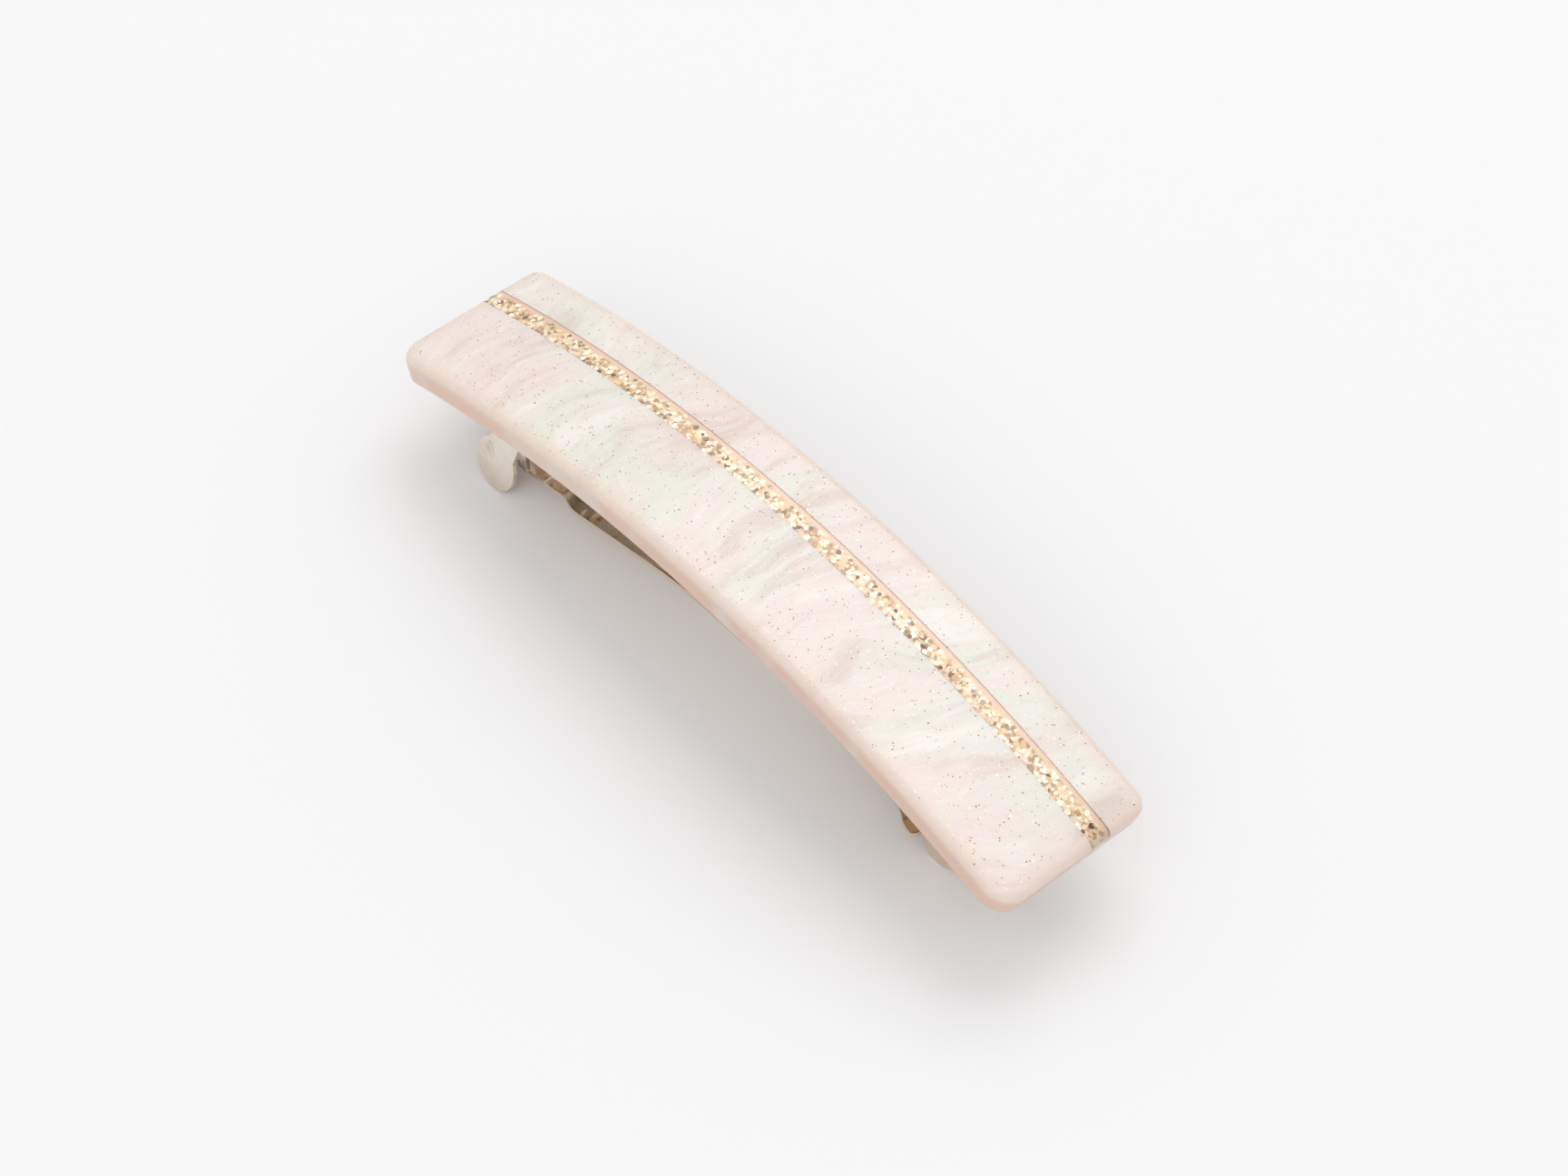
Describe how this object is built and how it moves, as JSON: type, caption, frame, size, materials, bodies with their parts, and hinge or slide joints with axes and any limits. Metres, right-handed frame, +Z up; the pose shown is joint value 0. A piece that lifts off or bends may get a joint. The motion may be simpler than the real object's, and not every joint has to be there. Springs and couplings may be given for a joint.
{
  "type": "hair barrette",
  "caption": "Bowed rectangular acetate hair barrette with a glitter inlay, on a sprung steel clip with a hinged clasp arm and squeeze catch.",
  "frame": {"origin": "middle of the plate's footprint, on the surface that the closed barrette stands on", "axes": "+Z up through the face of the plate; X along the plate, catch at -X and hinge at +X; Y across it, with the glitter strip towards +Y"},
  "size_m": [0.0962, 0.02, 0.0208],
  "materials": {
    "pearl_acetate": "polished pearl",
    "glitter_acetate": "clear resin full of rose gold flakes",
    "clear_adhesive": "clear set glue",
    "nickel_plated_steel": "polished nickel plate",
    "spring_steel": "satin"
  },
  "bodies": {
    "plate_and_base": {"pearl_panel_wide": "pearl_acetate", "glitter_strip": "glitter_acetate", "pearl_panel_narrow": "pearl_acetate", "adhesive_layer": "clear_adhesive", "base_bar": "nickel_plated_steel", "hinge_pin": "nickel_plated_steel", "catch_base": "nickel_plated_steel", "catch_rivet": "nickel_plated_steel"},
    "arm": {"clasp_arm": "nickel_plated_steel"},
    "bow": {"tension_bow": "spring_steel"},
    "ear_left": {"catch_ear_left": "nickel_plated_steel"},
    "ear_right": {"catch_ear_right": "nickel_plated_steel"}
  },
  "joints": [
    {"name": "arm_swing", "type": "hinge", "parent": "plate_and_base", "child": "arm", "pos_m": [0.0333, 0, 0.00224], "axis": [0, -1, 0], "range_deg": [0, 85]},
    {"name": "bow_flex", "type": "slide", "parent": "plate_and_base", "child": "bow", "axis": [0, 0, -1], "range_m": [0, 0.0015], "deforming": ["tension_bow"]},
    {"name": "left_ear_squeeze", "type": "hinge", "parent": "plate_and_base", "child": "ear_left", "pos_m": [-0.03524, 0.00435, 0.00997], "axis": [-0.9545, 0, -0.2982], "range_deg": [0, 6], "stiffness_Nm_per_rad": 0.02},
    {"name": "right_ear_squeeze", "type": "hinge", "parent": "plate_and_base", "child": "ear_right", "pos_m": [-0.03524, -0.00435, 0.00997], "axis": [0.9545, 0, 0.2982], "range_deg": [0, 6], "stiffness_Nm_per_rad": 0.02}
  ],
  "couplings": [
    {"joint": "bow_flex", "follows": "arm_swing", "m_per_rad": 0.0010111},
    {"joint": "right_ear_squeeze", "follows": "left_ear_squeeze", "ratio": 1}
  ]
}
